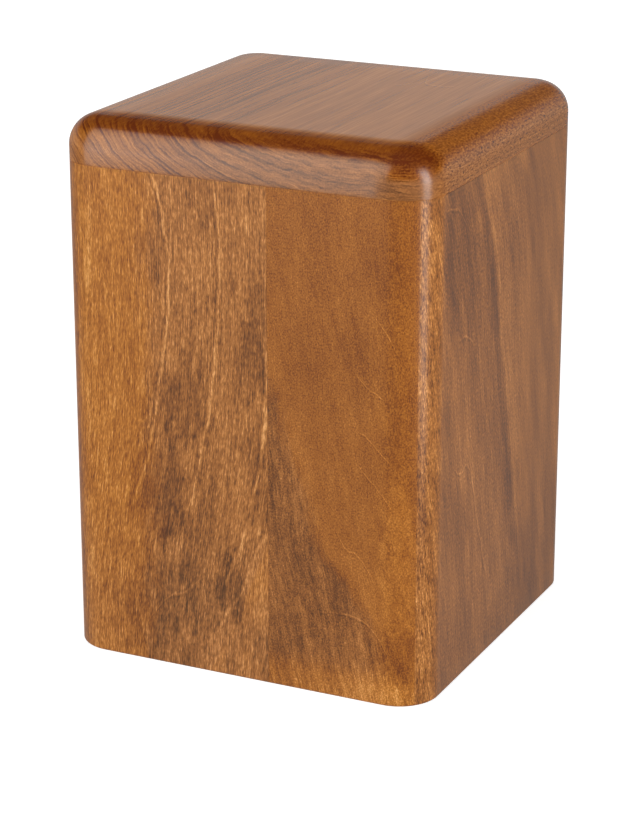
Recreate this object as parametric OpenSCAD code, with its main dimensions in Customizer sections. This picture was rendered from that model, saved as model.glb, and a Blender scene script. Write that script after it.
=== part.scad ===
/* [Overall size] */
// Outside width, from left to right
box_w = 168; // [130:1:260]
// Outside depth, from front to back
box_d = 170; // [130:1:260]
// Overall height
box_h = 235; // [100:1:350]

/* [Boards] */
// Thickness of the four walls
wall_t = 19; // [14:0.5:25]
// Thickness of the top panel
top_t = 19; // [10:0.5:30]
// Thickness of the base panel
base_t = 10; // [5:0.5:16]
// Width of the left one of the two boards that make the front wall
front_left_w = 98; // [40:1:140]

/* [Rounded edges] */
// Radius of the four upright corners
corner_r = 18; // [5:0.5:24]
// Radius of the roundover that runs round the top
top_edge_r = 13; // [2:0.5:16]
// Radius of the eased edge round the foot of the walls
foot_edge_r = 1; // [0.5:0.5:3]

/* [Base panel seat] */
// Thickness of wall that is left outside the base panel, round its pocket
rim_t = 9; // [8:0.5:12]
// Height of the base panel above the foot of the walls
base_lift = 1; // [0.5:0.5:4]
// Gap between the edge of the base panel and the walls
base_gap = 0.3; // [0.1:0.1:1]

/* [Hidden] */
$fn = 96;

half_w = box_w / 2;
half_d = box_d / 2;
wall_h = box_h - top_t;
front_joint_x = front_left_w - half_w;

// The hollow between the walls
inner_w = box_w - 2 * wall_t;
inner_d = box_d - 2 * wall_t;

// The wider pocket in the foot of the walls, which takes the base panel up against a ledge
pocket_w = box_w - 2 * rim_t;
pocket_d = box_d - 2 * rim_t;
pocket_h = base_lift + base_t;

// A roundover stays within the board that it is cut in
top_round = min(top_edge_r, top_t - 1, corner_r - 1);
foot_round = min(foot_edge_r, corner_r - 1);

// How far a cutting shape runs past what it cuts
past = 1;

// Half section of a block whose upper outer edge is rounded: its axis is at x = 0, its foot at y = 0
module edge_section(reach, height, edge_r) {
    intersection() {
        square([reach, height]);
        union() {
            square([reach - edge_r, height]);
            square([reach, height - edge_r]);
            translate([reach - edge_r, height - edge_r])
                circle(r = edge_r);
        }
    }
}

// One straight side of the block, of the given length, facing +X from x = 0
module edge_run(length, reach, height, edge_r) {
    rotate([90, 0, 0])
        linear_extrude(height = length, center = true)
            edge_section(reach, height, edge_r);
}

// Block on z = 0 with round upright corners and a roundover round its top
module rounded_block(w, d, h, plan_r, edge_r) {
    flat_w = w - 2 * plan_r;
    flat_d = d - 2 * plan_r;
    translate([-flat_w / 2, -flat_d / 2, 0])
        cube([flat_w, flat_d, h]);
    for (turn = [0, 180])
        rotate([0, 0, turn]) {
            translate([flat_w / 2, 0, 0])
                edge_run(flat_d, plan_r, h, edge_r);
            rotate([0, 0, 90])
                translate([flat_d / 2, 0, 0])
                    edge_run(flat_w, plan_r, h, edge_r);
            translate([flat_w / 2, flat_d / 2, 0])
                rotate_extrude(angle = 90)
                    edge_section(plan_r, h, edge_r);
            translate([-flat_w / 2, flat_d / 2, 0])
                rotate([0, 0, 90])
                    rotate_extrude(angle = 90)
                        edge_section(plan_r, h, edge_r);
        }
}

// Upright box centred on the axis
module centred_cut(w, d, z_from, z_to) {
    translate([-w / 2, -d / 2, z_from])
        cube([w, d, z_to - z_from]);
}

// All four walls as one ring: eased at the foot, hollow, with the pocket for the base panel
module wall_ring() {
    difference() {
        translate([0, 0, wall_h])
            mirror([0, 0, 1])
                rounded_block(box_w, box_d, wall_h, corner_r, foot_round);
        centred_cut(inner_w, inner_d, -past, wall_h + past);
        centred_cut(pocket_w, pocket_d, -past, pocket_h);
    }
}

// The space of one wall between its two mitres: the wall faces -Y and is half_run wide each way
module mitre_space(half_run, half_reach) {
    translate([0, 0, -past])
        linear_extrude(height = wall_h + 2 * past)
            polygon([
                [-half_run - past, -half_reach - past],
                [half_run + past, -half_reach - past],
                [half_run - wall_t - past, -half_reach + wall_t + past],
                [-half_run + wall_t + past, -half_reach + wall_t + past]
            ]);
}

// One of the four walls, cut out of the ring at its mitres; turn 0 is the front
module mitred_wall(turn) {
    sideways = turn % 180 != 0;
    intersection() {
        wall_ring();
        rotate([0, 0, turn])
            mitre_space(sideways ? half_d : half_w, sideways ? half_w : half_d);
    }
}

// Solid panel across the top of all four walls
module top_panel() {
    color("#8f6243")
        translate([0, 0, wall_h])
            rounded_block(box_w, box_d, top_t, corner_r, top_round);
}

// Wider left board of the front wall, up to the glued joint
module front_board_left() {
    color("#9a5a26")
        intersection() {
            mitred_wall(0);
            translate([front_joint_x - box_w, -half_d - past, -past])
                cube([box_w, wall_t + 2 * past, wall_h + 2 * past]);
        }
}

// Narrower right board of the front wall, from the glued joint on
module front_board_right() {
    color("#94592c")
        intersection() {
            mitred_wall(0);
            translate([front_joint_x, -half_d - past, -past])
                cube([box_w, wall_t + 2 * past, wall_h + 2 * past]);
        }
}

module right_wall() {
    color("#7d5238")
        mitred_wall(90);
}

module back_wall() {
    color("#8a5630")
        mitred_wall(180);
}

module left_wall() {
    color("#86532f")
        mitred_wall(270);
}

// Panel that closes the box from below, up against the ledge in the walls
module base_panel() {
    color("#7a4c2a")
        centred_cut(pocket_w - 2 * base_gap, pocket_d - 2 * base_gap, base_lift, pocket_h);
}

top_panel();
front_board_left();
front_board_right();
right_wall();
back_wall();
left_wall();
base_panel();
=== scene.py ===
"""A cremation urn box: seven boards and panels of stained, lacquered hardwood on a pale floor.

Every piece is built here at the size of its CAD node, with its edges, and stands in for that node.
Lengths are metres. The wood is worked out in millimetres, from the same frame.
"""
import math

import bpy
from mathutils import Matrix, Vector


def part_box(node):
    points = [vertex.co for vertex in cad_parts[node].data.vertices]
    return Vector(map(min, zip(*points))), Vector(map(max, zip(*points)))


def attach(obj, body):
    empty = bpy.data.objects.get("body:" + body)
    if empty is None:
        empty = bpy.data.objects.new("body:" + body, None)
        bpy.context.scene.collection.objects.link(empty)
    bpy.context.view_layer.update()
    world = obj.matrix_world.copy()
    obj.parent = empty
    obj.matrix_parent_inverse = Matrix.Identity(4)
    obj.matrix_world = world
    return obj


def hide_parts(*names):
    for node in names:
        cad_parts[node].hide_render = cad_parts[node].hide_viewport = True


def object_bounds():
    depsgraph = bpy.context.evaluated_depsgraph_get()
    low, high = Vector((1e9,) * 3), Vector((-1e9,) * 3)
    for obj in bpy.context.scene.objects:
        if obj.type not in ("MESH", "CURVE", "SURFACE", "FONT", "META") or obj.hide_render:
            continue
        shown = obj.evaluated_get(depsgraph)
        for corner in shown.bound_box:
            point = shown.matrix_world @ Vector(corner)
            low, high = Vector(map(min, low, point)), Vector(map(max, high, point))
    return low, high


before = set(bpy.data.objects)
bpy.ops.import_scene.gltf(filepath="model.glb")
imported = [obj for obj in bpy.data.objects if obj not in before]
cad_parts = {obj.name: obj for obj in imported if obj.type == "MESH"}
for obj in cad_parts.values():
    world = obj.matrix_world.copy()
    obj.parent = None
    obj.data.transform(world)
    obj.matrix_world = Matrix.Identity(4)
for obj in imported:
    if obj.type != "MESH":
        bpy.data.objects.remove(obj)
cad_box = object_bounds()

MM = 0.001
LOW, HIGH = cad_box
HALF_W = (HIGH[0] - LOW[0]) / 2
HALF_D = (HIGH[1] - LOW[1]) / 2
BOX_H = HIGH[2] - LOW[2]
LEFT_BOARD_LOW, LEFT_BOARD_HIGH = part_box("front_board_left")
WALL_T = LEFT_BOARD_HIGH[1] - LEFT_BOARD_LOW[1]
FRONT_JOINT_X = LEFT_BOARD_HIGH[0]
WALL_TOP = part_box("top_panel")[0][2]
BASE_LOW, BASE_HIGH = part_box("base_panel")

# As in the CAD: the radii of the upright corners, of the roundover of the top and of the
# foot's eased edge, and the width of the rim that the box stands on
CORNER_R = 18 * MM
TOP_EDGE_R = 13 * MM
FOOT_EDGE_R = 1 * MM
RIM_T = 9 * MM

# How far the arrises are broken along a glued joint, which leaves the joint as a fine line
JOINT_EASE = 0.12 * MM
BASE_EASE = 0.5 * MM

# How far inside the roundover the top's flat starts, so that its shading stays flat
FLAT_MARGIN = 0.8 * MM

CORNER_STEPS = 28
ROUND_STEPS = 28
FOOT_STEPS = 6
SHARP_DEG = 30


# ---------------------------------------------------------------- meshes

def arc(centre, radius, start_deg, end_deg, steps):
    """Points along an arc in plan, both ends included."""
    points = []
    for i in range(steps + 1):
        angle = math.radians(start_deg + (end_deg - start_deg) * i / steps)
        points.append((centre[0] + radius * math.cos(angle), centre[1] + radius * math.sin(angle)))
    return points


def quarter_steps(radius, steps):
    """(inset, rise) pairs round a convex quarter: from its upright end to its level end."""
    pairs = []
    for i in range(steps + 1):
        angle = math.radians(90 * i / steps)
        pairs.append((radius * (1 - math.cos(angle)), radius * math.sin(angle)))
    return pairs


def lofted(name, rings):
    """A closed piece through rings of equally many points, from the foot up, with flat ends."""
    count = len(rings[0])
    points = [point for ring in rings for point in ring]
    faces = [tuple(reversed(range(count)))]
    for level in range(len(rings) - 1):
        below = level * count
        above = below + count
        for i in range(count):
            j = (i + 1) % count
            faces.append((below + i, below + j, above + j, above + i))
    faces.append(tuple(range(len(points) - count, len(points))))
    mesh = bpy.data.meshes.new(name)
    mesh.from_pydata(points, [], faces)
    mesh.validate()
    mesh.shade_smooth()
    mesh.set_sharp_from_angle(angle=math.radians(SHARP_DEG))
    piece = bpy.data.objects.new(name, mesh)
    bpy.context.scene.collection.objects.link(piece)
    return piece


def plan_of_box(inset, z):
    """The box's outline in plan, moved in by inset, as one ring at height z."""
    radius = CORNER_R - inset
    reach_x = HALF_W - CORNER_R
    reach_y = HALF_D - CORNER_R
    ring = []
    for side_x, side_y, start in ((1, 1, 0), (-1, 1, 90), (-1, -1, 180), (1, -1, 270)):
        centre = (side_x * reach_x, side_y * reach_y)
        ring += arc(centre, radius, start, start + 90, CORNER_STEPS)
    return [(x, y, z) for x, y in ring]


def top_panel():
    """The top panel: a fine arris at the joint, an upright edge, the roundover, then the flat."""
    rings = [plan_of_box(JOINT_EASE, WALL_TOP), plan_of_box(0, WALL_TOP + JOINT_EASE)]
    round_z = BOX_H - TOP_EDGE_R
    for inset, rise in quarter_steps(TOP_EDGE_R, ROUND_STEPS):
        rings.append(plan_of_box(inset, round_z + rise))
    rings.append(plan_of_box(TOP_EDGE_R + FLAT_MARGIN, BOX_H))
    return lofted("urn_top_panel", rings)


def wall_plan(half_run, reach, inset, thickness, start=None, end=None):
    """Outline of a wall that faces -Y, from its left mitre to its right one, as (x, y) points.

    start or end cuts it square at that x instead, with its outer arris broken.
    """
    centre_y = -reach + CORNER_R
    outer_y = -reach + inset
    inner_y = -reach + thickness
    outline = []
    if start is None:
        outline += arc((-half_run + CORNER_R, centre_y), CORNER_R - inset, 225, 270, CORNER_STEPS)
    else:
        outline += [(start, outer_y + JOINT_EASE), (start + JOINT_EASE, outer_y)]
    if end is None:
        outline += arc((half_run - CORNER_R, centre_y), CORNER_R - inset, 270, 315, CORNER_STEPS)
        outline.append((half_run - thickness, inner_y))
    else:
        outline += [(end - JOINT_EASE, outer_y), (end, outer_y + JOINT_EASE), (end, inner_y)]
    outline.append((-half_run + thickness if start is None else start, inner_y))
    return outline


def wall(name, turn_deg, start=None, end=None):
    """One wall or board of a wall, turned from the front to its own side."""
    sideways = turn_deg % 180 != 0
    half_run, reach = (HALF_D, HALF_W) if sideways else (HALF_W, HALF_D)
    ledge_z = BASE_HIGH[2]
    levels = []
    for inset, rise in reversed(quarter_steps(FOOT_EDGE_R, FOOT_STEPS)):
        levels.append((FOOT_EDGE_R - rise, inset, RIM_T))
    levels.append((ledge_z, 0, RIM_T))
    levels.append((ledge_z, 0, WALL_T))
    levels.append((WALL_TOP - JOINT_EASE, 0, WALL_T))
    levels.append((WALL_TOP, JOINT_EASE, WALL_T))
    turn = math.radians(turn_deg)
    cosine, sine = math.cos(turn), math.sin(turn)
    rings = []
    for z, inset, thickness in levels:
        plan = wall_plan(half_run, reach, inset, thickness, start, end)
        rings.append([(x * cosine - y * sine, x * sine + y * cosine, z) for x, y in plan])
    return lofted(name, rings)


def base_panel():
    """The base panel, with its lower arris broken."""
    low_z, high_z = BASE_LOW[2], BASE_HIGH[2]
    rings = []
    for z, inset in ((low_z, BASE_EASE), (low_z + BASE_EASE, 0), (high_z, 0)):
        x0, y0 = BASE_LOW[0] + inset, BASE_LOW[1] + inset
        x1, y1 = BASE_HIGH[0] - inset, BASE_HIGH[1] - inset
        rings.append([(x0, y0, z), (x1, y0, z), (x1, y1, z), (x0, y1, z)])
    return lofted("urn_base_panel", rings)


# ---------------------------------------------------------------- material

# The longest position or height that a curve on a board can hold, in millimetres
SPAN = 256

# The height of the pores and streaks that show through the lacquer, in millimetres
PORE_MM = 0.006

# How rough the satin lacquer is on the boards and on the more polished top
SATIN = 0.3
POLISHED = 0.22
LACQUER_IOR = 1.5

# In millimetres: the distances from the middle of the box to its left and front faces, and the
# heights of its top and of the joint under the top panel
LEFT_MM = HALF_W / MM
FRONT_MM = HALF_D / MM
TOP_MM = BOX_H / MM
JOINT_MM = WALL_TOP / MM

# Colours of the stained wood, from the darkest pores to the palest growth lines: where the
# stain went in warm and clear, and where it went in dull
WARM_STAIN = [
    (0.0, (94, 38, 6)),
    (0.25, (136, 73, 14)),
    (0.5, (172, 103, 29)),
    (0.75, (206, 134, 52)),
    (1.0, (240, 176, 100)),
]
DULL_STAIN = [
    (0.0, (82, 50, 22)),
    (0.25, (127, 78, 36)),
    (0.5, (168, 107, 52)),
    (0.75, (208, 142, 80)),
    (1.0, (242, 180, 116)),
]


def linear(red, green, blue):
    """An 8-bit sRGB colour as the linear colour that a shader takes, by the sRGB formula."""
    channels = []
    for value in (red, green, blue):
        share = value / 255
        channels.append(share / 12.92 if share <= 0.04045 else ((share + 0.055) / 1.055) ** 2.4)
    return (*channels, 1.0)


class Graph:
    """The nodes of a material or a world, written as formulas: most methods give back a socket."""

    def __init__(self, owner):
        owner.use_nodes = True
        self.tree = owner.node_tree

    def node(self, kind, *values, **settings):
        """A node with its settings, and its first inputs set or linked."""
        made = self.tree.nodes.new(kind)
        for key, value in settings.items():
            setattr(made, key, value)
        for socket, value in zip(made.inputs, values):
            self.set(socket, value)
        return made

    def set(self, socket, value):
        """Links a socket to its input, or sets the input to a number. None leaves it alone."""
        if isinstance(value, bpy.types.NodeSocket):
            self.tree.links.new(value, socket)
        elif value is not None:
            socket.default_value = value

    def math(self, operation, *values):
        return self.node("ShaderNodeMath", *values, operation=operation).outputs[0]

    def add(self, *values):
        total = values[0]
        for value in values[1:]:
            total = self.math("ADD", total, value)
        return total

    def sub(self, a, b):
        return self.math("SUBTRACT", a, b)

    def mul(self, *values):
        total = values[0]
        for value in values[1:]:
            total = self.math("MULTIPLY", total, value)
        return total

    def total(self, *terms):
        """The sum of terms, each of them one value or a tuple of factors."""
        return self.add(*[self.mul(*term) if isinstance(term, tuple) else term for term in terms])

    def vector(self, x, y, z):
        return self.node("ShaderNodeCombineXYZ", x, y, z).outputs[0]

    def noise(self, vector, detail=2.0, roughness=0.5):
        """Smooth noise about 0, between about -0.5 and 0.5."""
        made = self.node("ShaderNodeTexNoise")
        self.set(made.inputs["Vector"], vector)
        made.inputs["Scale"].default_value = 1
        made.inputs["Detail"].default_value = detail
        made.inputs["Roughness"].default_value = roughness
        return self.sub(made.outputs[0], 0.5)

    def step(self, value, low, high, to_low=0.0, to_high=1.0):
        """A soft step: to_low up to low, and to_high from high on."""
        ends = (low, high, to_low, to_high)
        return self.node("ShaderNodeMapRange", value, *ends, interpolation_type="SMOOTHSTEP").outputs[0]

    def band(self, value, start, rise, end, fall):
        """1 between start and end, with soft flanks of the given widths outside them."""
        return self.mul(self.step(value, start - rise, start), self.step(value, end, end + fall, 1, 0))

    def curve(self, value, points):
        """A smooth curve through (position, height) points, all of them between 0 and SPAN."""
        made = self.node("ShaderNodeFloatCurve")
        self.set(made.inputs["Value"], self.mul(value, 1 / SPAN))
        line = made.mapping.curves[0]
        placed = sorted((at / SPAN, height / SPAN) for at, height in points)
        while len(line.points) < len(placed):
            line.points.new(0, 0)
        for point, place in zip(line.points, placed):
            point.location = place
        made.mapping.update()
        return self.mul(made.outputs[0], SPAN)

    def ramp(self, value, stops):
        """The colour at value along stops of (place, 8-bit colour)."""
        made = self.node("ShaderNodeValToRGB", value)
        elements = made.color_ramp.elements
        while len(elements) < len(stops):
            elements.new(1)
        for element, (at, colour) in zip(elements, stops):
            element.position = at
            element.color = linear(*colour)
        return made.outputs[0]


class Board(Graph):
    """The wood of one board, in millimetres: across and along its face, and depth into it.

    edge is added to across, and foot to along, so that both run from 0 at the board's edges.
    seed is added to depth, so that no two boards share their noise.
    """

    def __init__(self, name, across, along, edge=0.0, foot=0.0, seed=0.0):
        self.material = bpy.data.materials.new(name)
        super().__init__(self.material)
        place = self.node("ShaderNodeTexCoord").outputs["Object"]
        split = self.node("ShaderNodeSeparateXYZ", place)
        lengths = {letter: self.mul(split.outputs[letter], 1 / MM) for letter in "XYZ"}
        depth = next(letter for letter in "XYZ" if letter not in across + along)
        self.across = self.add(lengths[across], edge)
        self.along = self.add(lengths[along], foot)
        self.depth = self.add(lengths[depth], seed)

    def lumps(self, across_mm, depth_mm, along_mm, detail=2.0, roughness=0.5, shift=None):
        """Noise whose lumps have about the given sizes. shift is added to across."""
        across = self.across if shift is None else self.add(self.across, shift)
        place = self.vector(
            self.mul(across, 1 / across_mm),
            self.mul(self.depth, 1 / depth_mm),
            self.mul(self.along, 1 / along_mm),
        )
        return self.noise(place, detail, roughness)

    def grain(self, across_mm, along_mm, detail=2.0, roughness=0.5, shift=None):
        """Noise whose lumps are about across_mm wide and deep and along_mm long."""
        return self.lumps(across_mm, across_mm, along_mm, detail, roughness, shift)

    def beside(self, points, wander=0.0):
        """Distance to the right of a line down the board, through (along, across) points."""
        return self.sub(self.across, self.add(self.curve(self.along, points), wander))

    def above(self, points, wander=0.0):
        """Distance above a line across the board, through (across, along) points."""
        return self.sub(self.along, self.add(self.curve(self.across, points), wander))

    def thread(self, distance, travel, points, width):
        """A pale growth line with a dark edge before it, fading out past its end points."""
        fade_mm = 4
        dark_at = -1.6 * width
        dark_flank = 0.7 * width
        dark_share = 0.6
        ends = [at for at, height in points]
        shown = self.band(travel, min(ends), fade_mm, max(ends), fade_mm)
        pale = self.band(distance, 0, width, 0, width)
        dark = self.band(distance, dark_at, dark_flank, dark_at, dark_flank)
        return self.mul(self.sub(pale, self.mul(dark, dark_share)), shown)

    def line_down(self, points, wander, width=0.7):
        return self.thread(self.beside(points, wander), self.along, points, width)

    def line_across(self, points, wander, width=0.6):
        return self.thread(self.above(points, wander), self.across, points, width)

    def blotch(self, across, along, half_width, half_height, wobble):
        """A soft ragged patch: 1 in its middle, 0 outside it."""
        middle_share = 0.3
        rim_share = 1.2
        x = self.mul(self.sub(self.across, across), 1 / half_width)
        y = self.mul(self.sub(self.along, along), 1 / half_height)
        reach = self.math("SQRT", self.add(self.mul(x, x), self.mul(y, y)))
        return self.step(self.add(reach, wobble), middle_share, rim_share, 1, 0)

    def finish(self, tone, dull, relief, gloss=SATIN):
        """Stain and lacquer. tone runs from 0, dark, to 1, pale, and dull from 0 to 1.

        relief is the height of the surface's unevenness, in millimetres.
        """
        # A colour mix takes its two colours at sockets 6 and 7, and gives the result at 2
        colour = self.node("ShaderNodeMix", data_type="RGBA")
        self.set(colour.inputs["Factor"], dull)
        self.set(colour.inputs[6], self.ramp(tone, WARM_STAIN))
        self.set(colour.inputs[7], self.ramp(tone, DULL_STAIN))
        bump = self.node("ShaderNodeBump")
        bump.inputs["Strength"].default_value = 1
        bump.inputs["Distance"].default_value = MM
        self.set(bump.inputs["Height"], relief)
        shader = self.tree.nodes["Principled BSDF"]
        self.set(shader.inputs["Base Color"], colour.outputs[2])
        self.set(shader.inputs["Normal"], bump.outputs[0])
        shader.inputs["Roughness"].default_value = gloss
        shader.inputs["IOR"].default_value = LACQUER_IOR
        return self.material


# Each wood below works out three things for its board: tone, a sum of a base and of layers, each
# a tuple of what it draws, where, and how strongly; dull, which picks between the two stains; and
# the relief. grain() takes the width and length of its lumps. Lines and blotches lie at places
# measured from the board's left or front edge and from its foot, all in millimetres.

def front_left_wood():
    """Amber at its left, blotchy and full of short pale flecks in the middle, with growth lines."""
    board = Board("wood_front_left", "X", "Z", edge=LEFT_MM, seed=40)
    # How far the grain leans to the left as it falls, at places up the board
    lean = [(0, 44), (43, 34), (72, 22), (101, 11), (134, 4), (170, 0.5), (235, 3)]
    sway = board.mul(board.curve(board.along, lean), 0.35)
    wander = board.mul(board.grain(9, 11, 3), 4)
    wobble = board.mul(board.grain(4, 11, 4, 0.65, sway), 3)
    amber = board.step(board.total(board.across, (wobble, 8)), 26, 60, 1, 0)
    glow = board.band(board.total(board.across, (wobble, 4)), 14, 10, 26, 14)
    clouds = board.grain(9, 32, 3, shift=sway)
    mottle = board.grain(1.5, 3, 3, 0.6, sway)
    bands = board.grain(1.5, 50, 2, 0.6, sway)
    streaks = board.grain(0.5, 12, 2, 0.6, sway)
    hairs = board.grain(0.34, 2.1, 1, 0.5, sway)
    flecks = board.step(board.grain(0.45, 1.8, 1, 0.5, sway), 0.04, 0.16)
    slits = board.step(board.grain(0.45, 2.4, 1, 0.5, board.mul(sway, 1.02)), -0.17, -0.06, 1, 0)
    # Painted shade: the rounded corner at the left edge, 3 to 11 mm in, is darkened
    left_edge_shade = board.step(board.across, 3, 11, 1, 0)
    # Across and along of each dark blotch, its half width and half height, and how dark it is
    blotches_and_edge_shade = board.total(
        *[(board.blotch(*place, wobble), darkness) for *place, darkness in (
            (58, 120, 15, 20, 0.18),
            (51, 78, 20, 28, 0.17),
            (48, 28, 28, 30, 0.17),
            (81, 37, 9, 15, 0.21),
            (93, 150, 8, 30, 0.15),
            (93, 92, 7, 28, 0.15),
            (63, 60, 14, 30, 0.08),
        )],
        # The painted shade along the left edge, added to the blotches
        (left_edge_shade, 0.24),
    )
    # The points of each growth line down the board, its width and how pale it is
    lines = board.total(
        *[(board.line_down(points, wander, width), pale) for points, width, pale in (
            ([(213, 47), (193, 52), (165, 53), (134, 49), (100, 43), (72, 34)], 0.9, 0.25),
            ([(213, 75), (181, 77), (150, 75), (108, 69), (66, 59)], 1.1, 0.21),
            ([(148, 98), (119, 97), (90, 93), (66, 87), (43, 78)], 1.1, 0.25),
            ([(69, 98), (54, 91), (40, 86), (31, 80), (18, 73)], 1.1, 0.15),
        )],
        (board.line_across([(54, 33), (60, 36), (65, 41)], wander, 0.9), 0.16),
        (board.line_across([(36, 7), (44, 24), (54, 34)], wander), 0.12),
    )
    wedge = board.step(board.above([(70, 4), (98, 68)], wander), -8, 0, 1, 0)
    tone = board.total(
        0.475,
        (amber, 0.02),
        (glow, 0.06),
        (wedge, 0.04),
        (clouds, board.step(amber, 0, 1, 0.5, 0.35)),
        (mottle, board.step(amber, 0, 1, 0.7, 0.5)),
        (bands, 0.5),
        (streaks, 1.1),
        (hairs, board.step(amber, 0, 1, 0.85, 0.95)),
        (flecks, board.step(board.add(amber, wedge), 0, 1, 0.1, 0.07)),
        (slits, -0.09),
        lines,
        (blotches_and_edge_shade, -1),
    )
    dull = board.step(board.total(amber, (wedge, 0.4), (clouds, 0.8)), 0.1, 0.9, 0.75, 0)
    dull = board.add(dull, board.step(board.along, 10, 80, 0.35, 0))
    return board.finish(tone, dull, board.mul(board.add(streaks, flecks), PORE_MM))


def front_right_wood():
    """Smooth and golden, finely stippled, with a dark streaky wedge low down beside the joint."""
    board = Board("wood_front_right", "X", "Z", edge=LEFT_MM, seed=90)
    edge_of_wedge = [
        (0, 172), (13, 163), (31, 152), (54, 135), (67, 124),
        (81, 121), (119, 107), (139, 101), (235, 60),
    ]
    sway = board.mul(board.curve(board.along, edge_of_wedge), -0.3)
    wander = board.mul(board.grain(5, 9, 2), 3)
    ragged = board.mul(board.grain(2.6, 12, 4, 0.6, sway), 15)
    wobble = board.mul(board.grain(5, 10, 4, 0.6, sway), 2.2)
    inside = board.add(board.beside(edge_of_wedge), ragged)
    wedge = board.step(inside, -10, 2, 1, 0)
    core = board.mul(board.band(inside, -7, 6, -3, 4), board.band(board.along, 14, 10, 56, 14))
    # Across and along of each dark patch, and its half width and half height
    patches = board.add(*[board.blotch(*place, wobble) for place in (
        (131, 51, 13, 8),
        (129, 37, 12, 9),
        (107, 22, 9, 15),
        (113, 62, 9, 22),
    )])
    joint = board.step(board.across, 99, 112, 1, 0)
    strip = board.step(board.across, 148, 154)
    low = board.step(board.along, 4, 22, 1, 0)
    clouds = board.grain(12, 30, 3, 0.6, sway)
    stipple = board.grain(0.55, 0.8, 1, 0.6)
    streaks = board.grain(0.6, 7, 3, 0.6, sway)
    ribbons = board.grain(3, 34, 2, 0.6, sway)
    mottle = board.grain(1.8, 3.4, 3, 0.6)
    slants = board.grain(4, 50, 2, 0.5, board.mul(board.along, 0.3))
    flecks = board.step(board.grain(0.6, 2.2, 1, 0.5, sway), 0.08, 0.2)
    lines = board.add(*[board.line_across(points, wander, width) for points, width in (
        ([(131, 71), (134, 67), (139, 65), (143, 60), (146, 55)], 0.6),
        ([(134, 38), (142, 36), (146, 33), (151, 26)], 0.6),
        ([(142, 117), (146, 114), (151, 109)], 0.5),
        ([(140, 141), (143, 138), (148, 135)], 0.5),
        ([(142, 101), (147, 96), (151, 91)], 0.5),
        ([(147, 167), (150, 163), (153, 158)], 0.5),
    )])
    tone = board.total(
        0.4,
        (wedge, -0.04),
        (core, -0.1),
        (patches, -0.07),
        (board.blotch(143, 50, 14, 36, wobble), 0.08),
        (board.blotch(157, 60, 9, 30, wobble), 0.17),
        (board.blotch(139, 160, 14, 40, wobble), -0.06),
        (joint, wedge, -0.05),
        (strip, -0.05),
        (clouds, 0.4),
        (stipple, 1.0),
        (mottle, board.step(wedge, 0, 1, 0.15, 0.5)),
        (streaks, board.step(wedge, 0, 1, 0.3, 0.8)),
        (ribbons, wedge, 0.45),
        (flecks, wedge, 0.07),
        (slants, 0.16),
        (lines, 0.24),
        (low, board.step(board.across, 115, 145, 0.15, 0.3)),
    )
    dull = board.step(board.total((wedge, 0.8), (clouds, 0.5)), -0.1, 0.9, 0.15, 0.8)
    dull = board.mul(dull, board.step(board.across, 140, 156, 1, 0), board.step(low, 0, 1, 1, 0.3))
    return board.finish(tone, dull, board.mul(board.add(streaks, stipple), PORE_MM))


def right_wood():
    """Brown, with a long dark streak that leans back as it falls, and an orange front corner."""
    board = Board("wood_right_wall", "Y", "Z", edge=FRONT_MM, seed=150)
    dark_streak = [(0, 112), (58, 100), (83, 94), (116, 85), (148, 78), (183, 69), (215, 54)]
    sway = board.mul(board.curve(board.along, dark_streak), -0.8)
    wander = board.mul(board.grain(5, 9, 2), 3)
    wobble = board.mul(board.grain(6, 16, 4, 0.6, sway), 2)
    corner = board.step(board.total(board.across, (wobble, 4)), 10, 25, 1, 0)
    below_corner = board.band(board.across, 20, 4, 25, 8)
    smooth = board.step(board.across, 95, 118)
    foot = board.step(board.along, 0, 40, 1, 0)
    beside = board.total(board.beside(dark_streak, wander), (board.grain(2.4, 24, 2, 0.5, sway), 7))
    streak = board.total(
        board.band(beside, -3, 5, -1, 4),
        (board.band(beside, -20, 14, -4, 8), 0.6),
        (board.band(beside, 3.6, 1.4, 4, 2), -0.5),
    )
    fade = board.band(board.along, 60, 40, 230, 12)
    clouds = board.grain(10, 60, 3, shift=sway)
    streaks = board.grain(0.9, 16, 3, 0.55, sway)
    stipple = board.grain(0.6, 1.3, 1, 0.6)
    pores = board.step(board.grain(0.55, 3, 1, 0.5), 0.03, 0.15)
    bars = board.add(board.band(board.across, 125, 5, 130, 5), board.band(board.across, 141, 3, 143, 5))
    lines = board.total(
        board.line_across([(22, 209), (31, 207), (38, 201), (44, 191)], wander, 0.7),
        board.line_across([(36, 152), (43, 151), (48, 148)], wander, 0.7),
        board.line_across([(33, 96), (39, 93), (45, 94), (50, 88)], wander, 0.7),
        board.line_down([(88, 51), (72, 56), (58, 61), (40, 68)], wander, 0.8),
        (board.line_down([(120, 60), (150, 55), (190, 46)], wander, 0.9), 0.6),
    )
    tone = board.total(
        0.42,
        (smooth, -0.02),
        (corner, 0.08),
        (corner, pores, -0.24),
        (corner, streaks, 0.3),
        (below_corner, -0.07),
        (board.blotch(36, 190, 20, 44, wobble), -0.17),
        (board.blotch(40, 70, 12, 26, wobble), -0.08),
        (board.blotch(96, 190, 34, 30, wobble), -0.07),
        (board.blotch(118, 22, 26, 34, wobble), -0.09),
        (streak, fade, -0.13),
        (bars, -0.04),
        (clouds, 0.5),
        (streaks, board.step(smooth, 0, 1, 0.8, 0.45)),
        (stipple, board.step(smooth, 0, 1, 1.0, 0.6)),
        (lines, 0.2),
        (foot, -0.03),
    )
    dull = board.step(corner, 0, 1, 0.75, 0.5)
    return board.finish(tone, dull, board.mul(board.add(streaks, stipple), PORE_MM))


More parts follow.
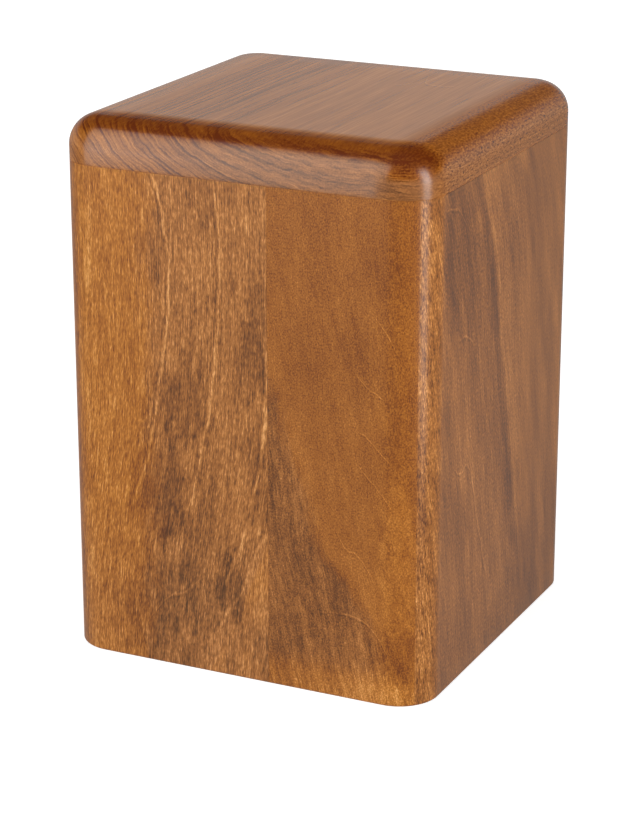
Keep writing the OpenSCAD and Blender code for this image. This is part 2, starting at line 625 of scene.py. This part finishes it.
def ring_level(board):
    """How far up through the growth rings a place in the top panel lies, in millimetres."""
    # The rings drop to the left, which draws them as arcs on the end grain in front
    arch = [(0, 0), (20, 18), (40, 34), (60, 47), (84, 58), (110, 65), (140, 68), (168, 68)]
    drop = board.curve(board.across, arch)
    wobble = board.mul(board.lumps(34, 26, 110), 8)
    ripple = board.mul(board.grain(5, 80, 4, 0.6), 2.4)
    return board.add(board.depth, drop, wobble, ripple)


def top_form(board, right, back):
    """Relief of the top: it falls away a little to its edges, and its upright edge leans in."""
    crown = board.add(
        board.step(board.along, 4, 24, -1.3, 0),
        board.step(right, 4, 24, -1.5, 0),
        board.step(back, 4, 24, -0.4, 0),
        board.step(board.across, 4, 24, -0.8, 0),
    )
    lean = board.step(board.depth, JOINT_MM - 2, TOP_MM - 4, 1.8, 0)
    return board.add(crown, lean)


def top_wood():
    """Grain from front to back, with growth rings that show as arcs on the end grain in front."""
    board = Board("wood_top_panel", "X", "Y", edge=LEFT_MM, foot=FRONT_MM)
    back = board.sub(2 * FRONT_MM, board.along)
    right = board.sub(2 * LEFT_MM, board.across)
    end_grain = board.add(board.step(board.along, 2, 11, 1, 0), board.step(back, 2, 11, 1, 0))

    # Each ring darkens slowly from its pale start and ends sharply. Rings differ in strength,
    # and wisps and bands run along them
    ring_mm = 2.4
    level = ring_level(board)
    part = board.math("FRACT", board.mul(level, 1 / ring_mm))
    late = board.mul(board.step(part, 0.2, 0.85), board.step(part, 0.88, 1, 1, 0))
    far = board.mul(board.along, 1 / 300)
    strength = board.step(board.noise(board.vector(board.mul(level, 1 / 3.7), far, 3.0)), -0.12, 0.16)
    wisps = board.noise(board.vector(board.mul(level, 1 / 0.6), board.mul(board.across, 1 / 7), far))
    bands = board.noise(board.vector(board.mul(level, 1 / 5), far, 9.0), 3)
    streaks = board.grain(0.8, 40, 2, 0.6)
    stipple = board.lumps(0.8, 0.8, 1.6, 1)
    pores = board.step(board.grain(0.6, 2.2, 1), 0.02, 0.14)
    notch = board.add(
        board.line_across([(103, 121), (108, 127), (110, 134)], 0, 1.0),
        board.line_across([(110, 133), (113, 127), (118, 125), (124, 126)], 0, 1.0),
    )
    calm = board.mul(
        board.step(right, 4, 14, 0.3, 1),
        board.total(board.step(board.across, 60, 130, 1, 0.35), (end_grain, 0.35)),
    )

    # The places that differ. Round the shoulders, above the upright edges at the front and the right,
    # the wood
    # is darker and redder: a redder stain there, and painted shade for the dark line along the
    # roundover
    left_side = board.band(board.across, 20, 14, 46, 40)
    right_edge = board.mul(
        board.step(right, 0, 9, 1, 0),
        board.step(board.depth, TOP_MM - 9, TOP_MM - 1, 1, 0),
    )
    shoulder_shade = board.mul(
        board.step(board.depth, TOP_MM - 9, TOP_MM - 2),
        board.total(board.band(board.along, 5, 4, 13, 9), (board.band(back, 5, 4, 13, 9), 0.3)),
    )
    side_shoulder_shade = board.mul(
        board.step(board.depth, TOP_MM - 13, TOP_MM - 7),
        board.band(right, 3, 3, 13, 8),
    )
    corner = board.mul(
        board.band(board.along, 2, 4, 10, 8),
        board.step(right, 1, 9, 1, 0),
        board.step(board.depth, JOINT_MM, TOP_MM - 3),
    )
    right_rim = board.add(right_edge, side_shoulder_shade)
    shoulder_shades = board.add(shoulder_shade, side_shoulder_shade)

    tone = board.total(
        0.46,
        (end_grain, board.step(board.across, 20, 90, 0.03, -0.11)),
        (bands, calm, 0.42),
        (late, strength, calm, board.step(end_grain, 0, 1, -0.16, -0.27)),
        (wisps, end_grain, board.step(right_edge, 0, 1, 0.8, 0)),
        (streaks, board.step(board.add(end_grain, side_shoulder_shade), 0, 1, 0.55, 0.25)),
        (stipple, board.step(end_grain, 0, 1, 0, 0.25)),
        (left_side, -0.06),
        (right_edge, -0.04),
        (right_edge, pores, board.step(board.along, 8, 24, -0.1, -0.24)),
        (right_rim, stipple, board.step(board.along, 8, 24, 0.3, 0.8)),
        (notch, 0.16),
        # Painted shade along the front and right shoulders, on their redder stain
        (shoulder_shade, -0.27),
        (side_shoulder_shade, -0.15),
        (corner, -0.12),
    )
    dull = board.mul(
        board.total(
            (board.sub(1, end_grain), 0.6),
            (end_grain, board.step(board.across, 30, 100, 0.35, 0.9)),
        ),
        board.step(shoulder_shades, 0, 0.6, 1, 0),
    )
    pore_relief = board.mul(board.total(streaks, (late, -0.5)), PORE_MM)
    return board.finish(tone, dull, board.add(top_form(board, right, back), pore_relief), POLISHED)


def side_wood(name, across, along, seed):
    """Plainer wood for the sides that are seen less: soft clouds, fine streaks, a few growth lines."""
    board = Board(name, across, along, seed=seed)
    drift = board.mul(board.grain(60, 170, 2), 40)
    wander = board.mul(board.grain(5, 18, 2), 2)
    clouds = board.grain(13, 60, 3, shift=drift)
    shade = board.step(board.grain(18, 150, 2, shift=drift), 0.0, 0.16)
    mottle = board.grain(2.2, 6, 3, 0.6, drift)
    streaks = board.grain(0.6, 9, 3, 0.6, drift)
    hairs = board.grain(0.4, 2.4, 1, 0.5, drift)
    stipple = board.grain(0.55, 0.9, 1, 0.6)
    # One growth line in every line_gap_mm across the grain, where shown lets it through
    line_gap_mm = 27
    contour = board.math("FRACT", board.mul(board.add(board.across, drift, wander), 1 / line_gap_mm))
    pale = board.band(contour, 0.5, 0.025, 0.505, 0.03)
    dark = board.band(contour, 0.455, 0.02, 0.46, 0.02)
    shown = board.step(board.grain(9, 50, 2, shift=drift), -0.05, 0.12)
    tone = board.total(
        0.47,
        (clouds, 0.55),
        (shade, -0.09),
        (mottle, 0.35),
        (streaks, 0.6),
        (hairs, 0.7),
        (stipple, 0.6),
        (board.sub(pale, board.mul(dark, 0.6)), shown, 0.18),
    )
    dull = board.step(board.total(clouds, (shade, 0.2)), -0.2, 0.2, 0.2, 0.8)
    return board.finish(tone, dull, board.mul(board.add(streaks, stipple), PORE_MM))


# ---------------------------------------------------------------- the object

pieces = {
    "top_panel": (top_panel(), top_wood()),
    "front_board_left": (wall("urn_front_board_left", 0, end=FRONT_JOINT_X), front_left_wood()),
    "front_board_right": (wall("urn_front_board_right", 0, start=FRONT_JOINT_X), front_right_wood()),
    "right_wall": (wall("urn_right_wall", 90), right_wood()),
    "back_wall": (wall("urn_back_wall", 180), side_wood("wood_back_wall", "X", "Z", 200)),
    "left_wall": (wall("urn_left_wall", 270), side_wood("wood_left_wall", "Y", "Z", 260)),
    "base_panel": (base_panel(), side_wood("wood_base_panel", "X", "Y", 330)),
}
for node, (piece, wood) in pieces.items():
    piece.data.materials.append(wood)
    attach(piece, "root")
    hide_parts(node)


# ---------------------------------------------------------------- studio

FLOOR_HALF = 12.0
PAPER_GREY = 0.6
PAPER_ROUGHNESS = 0.9

# How bright the camera sees the floor's own glow and the backdrop, with 1 as white
FLOOR_GLOW = 0.7
BACKDROP_SEEN = 0.9

# What lights the wood from all round and shows in the lacquer: a backdrop under a ceiling, and
# the share of the backdrop's strength below the horizon, with the elevations where they change
BACKDROP_STRENGTH = 0.56
CEILING_STRENGTH = 0.04
BELOW_HORIZON = 0.65
CEILING_DEG = (15, 21)
HORIZON_DEG = (-8, 8)

# The places that the lights and the camera point at
MIDDLE = (0, 0, BOX_H / 2)
FRONT_EDGE = (0, -HALF_D, BOX_H)
ABOVE_CORNER = (HALF_W, -HALF_D, BOX_H + 35 * MM)

# The key, in front at the left, is three lights of one middle, so that its reflection fades
# towards its sides. A light of radiance 1 shows white in a mirror
KEY_AZIMUTH, KEY_ELEVATION, KEY_DISTANCE = -37, 27, 1.5
KEYS = (
    # name, width, height, radiance, whether it lights the wood and not only the lacquer
    ("key_narrow", 0.5, 1.4, 3.0, True),
    ("key_middle", 0.9, 1.7, 2.2, True),
    ("key_wide", 1.3, 2.0, 2.2, False),
)

# Two close lights beside the right front corner: one draws the pale line down it, and the
# other the glint on the top panel above it
CORNER_AZIMUTH, CORNER_DISTANCE = 81, 0.33
CORNER_LIGHTS = (
    # name, elevation, width, height, radiance, whether it lights the wood
    ("strip", 0, 0.1, 0.54, 4.0, True),
    ("glint", 14, 0.09, 0.2, 4.0, False),
)

# Soft fills that light the wood but aren't reflected in the lacquer
FILL_DISTANCE = 1.6
FILLS = (
    # name, azimuth, elevation, size, radiance
    ("fill_front", 35, 48, 1.5, 1.4),
    ("fill_right", 95, 20, 1.0, 1.0),
    ("fill_above", 0, 85, 1.0, 1.5),
    ("fill_back", 215, 25, 1.5, 1.25),
)

# The camera looks at the middle from here, and is then moved right and up without a turn.
# These fit the box's outline. The focal length is given in pixels of the frame's height
CAMERA_AZIMUTH, CAMERA_ELEVATION = 25.44, 18.85
CAMERA_DISTANCE = 4.952 * BOX_H
CAMERA_RIGHT, CAMERA_UP = -0.0107 * BOX_H, -0.106 * BOX_H
FOCAL_PX, FRAME_PX = 2650, 833
SENSOR_MM = 36
NEAREST_SEEN = 0.01


def floor():
    """A plain pale floor, wide enough for every view."""
    signs = ((-1, -1), (1, -1), (1, 1), (-1, 1))
    corners = [(x * FLOOR_HALF, y * FLOOR_HALF, 0) for x, y in signs]
    mesh = bpy.data.meshes.new("studio_floor")
    mesh.from_pydata(corners, [], [(0, 1, 2, 3)])
    piece = bpy.data.objects.new("studio_floor", mesh)
    bpy.context.scene.collection.objects.link(piece)
    paper = bpy.data.materials.new("paper")
    graph = Graph(paper)
    shader = graph.tree.nodes["Principled BSDF"]
    shader.inputs["Base Color"].default_value = (PAPER_GREY, PAPER_GREY, PAPER_GREY, 1)
    shader.inputs["Roughness"].default_value = PAPER_ROUGHNESS
    shader.inputs["Emission Color"].default_value = (1, 1, 1, 1)
    seen = graph.node("ShaderNodeLightPath").outputs["Is Camera Ray"]
    graph.set(shader.inputs["Emission Strength"], graph.mul(seen, FLOOR_GLOW))
    mesh.materials.append(paper)
    piece.visible_glossy = False


def facing(position, target):
    """The turn that points an object's -Z axis from position at target."""
    return (Vector(target) - Vector(position)).to_track_quat("-Z", "Y").to_euler()


def direction(azimuth_deg, elevation_deg, distance, origin):
    """A point seen from origin. Azimuth 0 is in front, -Y, and 90 is to the right, +X."""
    a, e = math.radians(azimuth_deg), math.radians(elevation_deg)
    return (
        origin[0] + distance * math.sin(a) * math.cos(e),
        origin[1] - distance * math.cos(a) * math.cos(e),
        origin[2] + distance * math.sin(e),
    )


def softbox(name, position, target, width, height, radiance):
    """A rectangular soft light that the camera doesn't see. radiance is what a mirror would show."""
    light = bpy.data.lights.new(name, "AREA")
    light.shape = "RECTANGLE"
    light.size = width
    light.size_y = height
    light.energy = radiance * math.pi * width * height
    lamp = bpy.data.objects.new(name, light)
    lamp.location = position
    lamp.rotation_euler = facing(position, target)
    lamp.visible_camera = False
    bpy.context.scene.collection.objects.link(lamp)
    return lamp


def lights():
    """The key, the two lights beside the right front corner, and the fills."""
    key_place = direction(KEY_AZIMUTH, KEY_ELEVATION, KEY_DISTANCE, FRONT_EDGE)
    for name, width, height, radiance, on_wood in KEYS:
        key = softbox(name, key_place, FRONT_EDGE, width, height, radiance)
        key.visible_diffuse = on_wood
    for name, elevation, width, height, radiance, on_wood in CORNER_LIGHTS:
        place = direction(CORNER_AZIMUTH, elevation, CORNER_DISTANCE, ABOVE_CORNER)
        lamp = softbox(name, place, ABOVE_CORNER, width, height, radiance)
        lamp.visible_diffuse = on_wood
    for name, azimuth, elevation, size, radiance in FILLS:
        place = direction(azimuth, elevation, FILL_DISTANCE, MIDDLE)
        fill = softbox(name, place, MIDDLE, size, size, radiance)
        fill.visible_glossy = False


def camera():
    """The camera, at the viewing angle and distance that fit the box's outline."""
    a, e = math.radians(CAMERA_AZIMUTH), math.radians(CAMERA_ELEVATION)
    back = direction(CAMERA_AZIMUTH, CAMERA_ELEVATION, CAMERA_DISTANCE, MIDDLE)
    right = (math.cos(a), math.sin(a), 0)
    up = (-math.sin(a) * math.sin(e), math.cos(a) * math.sin(e), math.cos(e))
    data = bpy.data.cameras.new("camera")
    data.lens = FOCAL_PX / FRAME_PX * SENSOR_MM
    data.sensor_width = SENSOR_MM
    data.clip_start = NEAREST_SEEN
    eye = bpy.data.objects.new("camera", data)
    eye.location = [back[i] + CAMERA_RIGHT * right[i] + CAMERA_UP * up[i] for i in range(3)]
    ahead = [eye.location[i] - (back[i] - MIDDLE[i]) for i in range(3)]
    eye.rotation_euler = facing(eye.location, ahead)
    bpy.context.scene.collection.objects.link(eye)
    bpy.context.scene.camera = eye


def surroundings():
    """A bright low backdrop all round under a dark ceiling. The camera sees one plain pale tone."""
    world = bpy.data.worlds.new("studio")
    graph = Graph(world)
    place = graph.node("ShaderNodeTexCoord").outputs["Generated"]
    height = graph.node("ShaderNodeSeparateXYZ", place).outputs["Z"]
    horizon = [math.sin(math.radians(angle)) for angle in HORIZON_DEG]
    ceiling = [math.sin(math.radians(angle)) for angle in CEILING_DEG]
    strength = graph.mul(
        graph.step(height, *horizon, BELOW_HORIZON, 1),
        graph.step(height, *ceiling, BACKDROP_STRENGTH, CEILING_STRENGTH),
    )
    # A mix of two values takes its factor at socket 0 and the values at 2 and 3
    seen = graph.node("ShaderNodeLightPath").outputs["Is Camera Ray"]
    shown = graph.node("ShaderNodeMix", seen, None, strength, BACKDROP_SEEN).outputs[0]
    background = graph.tree.nodes["Background"]
    background.inputs["Color"].default_value = (1, 1, 1, 1)
    graph.set(background.inputs["Strength"], shown)
    bpy.context.scene.world = world


floor()
lights()
camera()
surroundings()
bpy.context.scene.view_settings.view_transform = "Standard"
